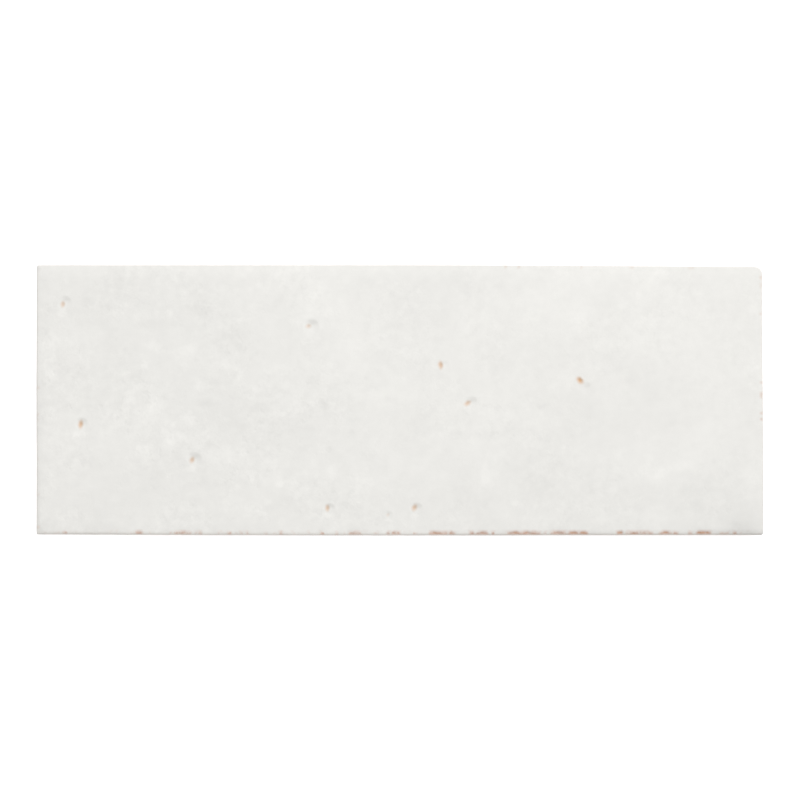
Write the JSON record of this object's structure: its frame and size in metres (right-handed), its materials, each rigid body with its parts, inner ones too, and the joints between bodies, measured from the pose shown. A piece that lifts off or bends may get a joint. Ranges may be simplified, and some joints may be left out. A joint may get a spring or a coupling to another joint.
{
  "type": "subway wall tile",
  "caption": "Glazed ceramic subway wall tile with a hand-pressed uneven face, rounded rim, pinholes and a keyed back.",
  "frame": {"origin": "middle of the back, on the plane that the tile lies on", "axes": "+X along the tile, +Y across it towards the picture's upper side, +Z out of the glazed face"},
  "size_m": [0.2, 0.0744, 0.0085],
  "materials": {
    "glazed_ceramic": "glossy warm white glaze over a tan biscuit body"
  },
  "bodies": {
    "root": {"tile": "glazed_ceramic"}
  },
  "joints": []
}
